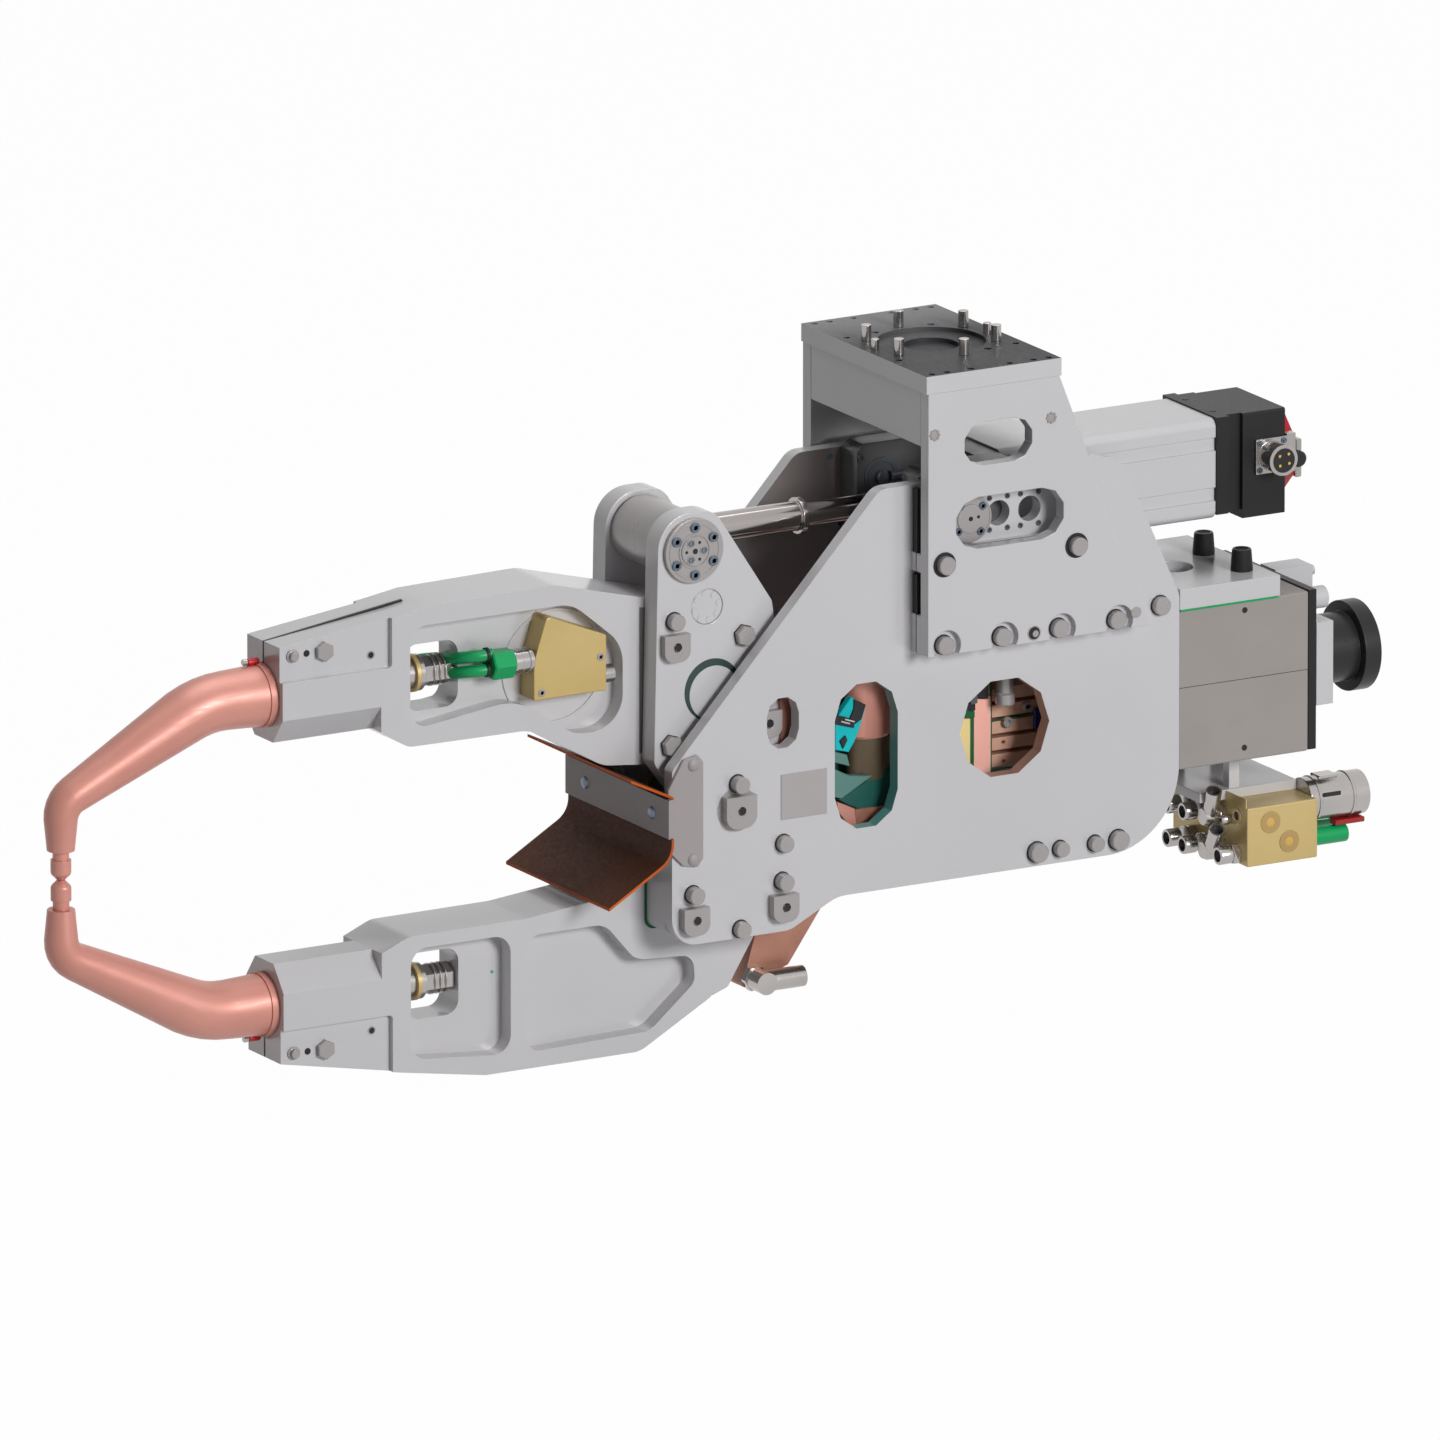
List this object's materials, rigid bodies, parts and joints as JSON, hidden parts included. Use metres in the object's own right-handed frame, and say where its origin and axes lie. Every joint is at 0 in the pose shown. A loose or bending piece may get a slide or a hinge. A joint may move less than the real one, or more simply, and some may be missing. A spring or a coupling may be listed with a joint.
{
  "type": "robot spot welding tongs",
  "caption": "X-type robot spot welding tongs with two copper electrode arms, a servo cylinder, a transformer and a flanged robot console.",
  "frame": {"origin": "centre of the robot mounting face, on the axis of its stud circle", "axes": "+Z points out of the mounting face towards the robot; -X runs along the tongs to the electrode tips; +Y is the side away from the viewer, so that Y = 0 is the middle plane between the side plates"},
  "size_m": [1.4345, 0.256, 0.669],
  "materials": {
    "dark_plate": "black anodised top face",
    "steel": "turned",
    "machined": "fine machined, satin",
    "insulation": "glass fibre sheet",
    "bronze": "bare bronze",
    "copper": "bare copper alloy",
    "busbar_copper": "bare copper, slightly tarnished",
    "black_cover": "black, satin",
    "red_cap": "red anodised",
    "nickel": "nickel plated",
    "transformer_grey": "warm grey, satin",
    "black_plastic": "moulded",
    "buffer_rubber": "moulded",
    "green_plastic": "moulded",
    "guard_grey": "satin",
    "guard_brown": "dark hide with bright cut edges"
  },
  "bodies": {
    "frame": {"mount_plate": "dark_plate", "flange_studs": "steel", "flange_dowels": "steel", "console_side_near": "machined", "console_side_far": "machined", "console_front_beam": "machined", "console_rear_beam": "machined", "insulation_strips": "insulation", "main_plate_near": "machined", "main_plate_far": "machined", "plate_cross_block": "machined", "pivot_axle": "steel", "lower_arm_pins": "steel", "frame_bolts": "steel", "lower_arm": "machined", "lower_arm_spacers": "machined", "lower_arm_insulation": "insulation", "lower_electrode_arm": "copper", "lower_electrode_cap": "copper", "trunnion_pins": "steel", "transformer": "transformer_grey", "transformer_top_plate": "machined", "transformer_rear_plate": "black_cover", "rear_terminals": "machined", "power_connector": "black_plastic", "rubber_buffers": "buffer_rubber", "secondary_terminals": "busbar_copper", "laminated_shunt": "busbar_copper", "lower_busbar": "busbar_copper", "busbar_elbow": "nickel", "water_manifold": "bronze", "manifold_hanger": "machined", "manifold_fittings": "nickel", "flow_couplings": "nickel", "coupling_sleeves": "green_plastic", "lower_arm_connectors": "nickel", "guard_bracket": "guard_grey", "guard_flap_upper": "guard_brown", "guard_flap_lower": "guard_brown"},
    "lever": {"lever_ear_near": "machined", "lever_ear_far": "machined", "ear_pins": "steel", "lever_bolts": "steel", "upper_arm": "machined", "ear_insulation": "insulation", "lever_pin": "steel", "pivot_bushes": "bronze", "upper_electrode_arm": "copper", "upper_electrode_cap": "copper", "arm_manifold": "bronze", "arm_fittings": "nickel", "arm_hose": "green_plastic", "arm_terminal": "busbar_copper"},
    "actuator": {"actuator_yoke": "machined", "servo_body": "machined", "servo_cover": "black_cover", "servo_end_cap": "red_cap", "servo_connectors": "nickel"},
    "rod": {"rod_eye": "steel", "piston_rod": "nickel"}
  },
  "joints": [
    {"name": "lever_hinge", "type": "hinge", "parent": "frame", "child": "lever", "pos_m": [-0.2665, 0, -0.4105], "axis": [0, 1, 0], "range_deg": [0, 20], "deforming": ["laminated_shunt"]},
    {"name": "actuator_swing", "type": "hinge", "parent": "frame", "child": "actuator", "pos_m": [-0.011, 0, -0.1545], "axis": [0, 1, 0], "range_deg": [-1, 0.6]},
    {"name": "rod_slide", "type": "slide", "parent": "actuator", "child": "rod", "axis": [1, 0, 0], "range_m": [0, 0.09]}
  ],
  "couplings": [
    {"joint": "rod_slide", "follows": "lever_hinge", "m_per_rad": 0.2567}
  ]
}
